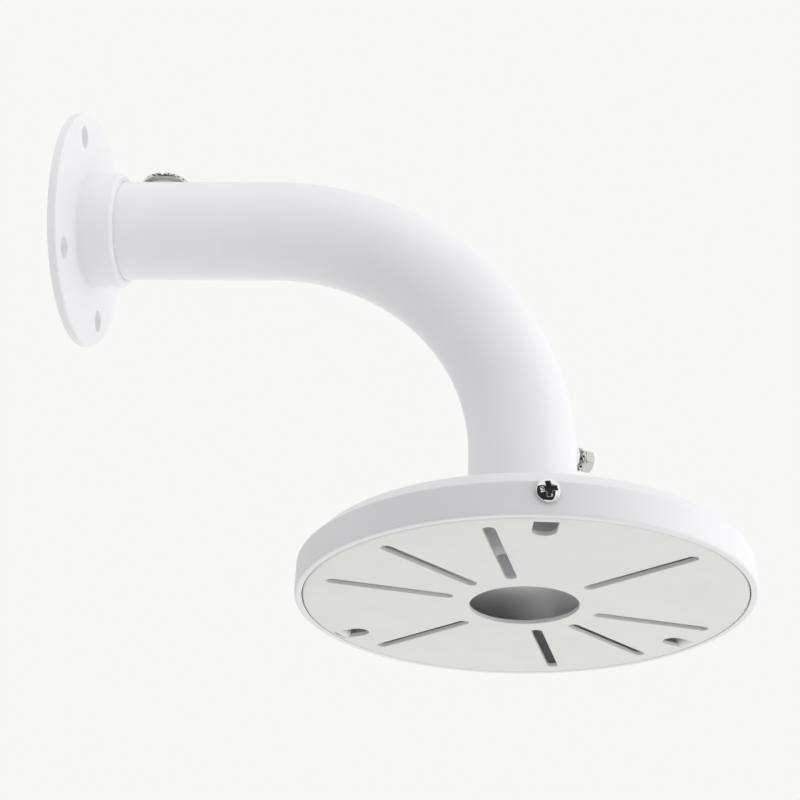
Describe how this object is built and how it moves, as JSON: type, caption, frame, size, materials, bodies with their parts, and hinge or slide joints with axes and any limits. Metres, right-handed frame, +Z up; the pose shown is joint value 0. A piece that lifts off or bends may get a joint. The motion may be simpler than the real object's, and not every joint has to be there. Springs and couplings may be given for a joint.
{
  "type": "camera wall bracket",
  "caption": "Wall bracket for a dome camera: bent arm tube with a round wall flange, a shallow canopy and a slotted adapter plate around a cable opening.",
  "frame": {"origin": "centre of the wall flange's wall face", "axes": "+X out of the wall along the arm, +Z up, so the canopy hangs toward -Z and the adapter plate faces down"},
  "size_m": [0.2585, 0.1625, 0.2062],
  "materials": {
    "powder_coat": "white powder coat, satin",
    "plate_paint": "light grey paint, satin",
    "nickel": "nickel plated",
    "chrome_screw": "bright plated",
    "seal": "matte, pale grey"
  },
  "bodies": {
    "root": {"wall_flange": "powder_coat", "arm_tube": "powder_coat", "canopy": "powder_coat", "adapter_plate": "plate_paint", "entry_plug": "nickel", "plug_seal": "seal", "lock_bolt": "nickel", "lock_washer": "nickel", "rim_screw_1": "chrome_screw", "rim_screw_2": "chrome_screw", "rim_screw_3": "chrome_screw"}
  },
  "joints": []
}
